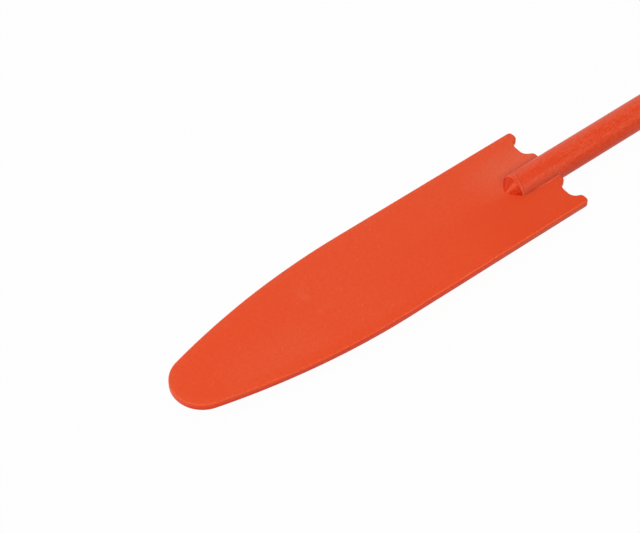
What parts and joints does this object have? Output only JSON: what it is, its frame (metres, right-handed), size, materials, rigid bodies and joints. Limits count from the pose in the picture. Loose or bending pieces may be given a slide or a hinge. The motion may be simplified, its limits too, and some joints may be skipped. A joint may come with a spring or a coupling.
{
  "type": "insulating rescue paddle",
  "caption": "Long flat tapered insulating blade with notched shoulders, held in the slotted cone nose of a round foam-filled fibreglass pole with a hanging eye.",
  "frame": {"origin": "on the pole's axis, at the blade's rear edge, where the full round pole begins", "axes": "+X along the pole from the blade's tip towards the butt, +Y across the blade, +Z out of the blade's upper face"},
  "size_m": [1.22, 0.121, 0.032],
  "materials": {
    "blade_moulding": "satin orange moulding, slightly scuffed",
    "pole_laminate": "satin orange wound fibreglass with a fine streaky grain",
    "nose_moulding": "satin orange turned plastic",
    "core_foam": "fine closed-cell foam",
    "butt_moulding": "satin orange moulding"
  },
  "bodies": {
    "root": {"blade": "blade_moulding", "pole_tube": "pole_laminate", "nose_plug": "nose_moulding", "foam_core": "core_foam", "butt_plug": "butt_moulding"}
  },
  "joints": []
}
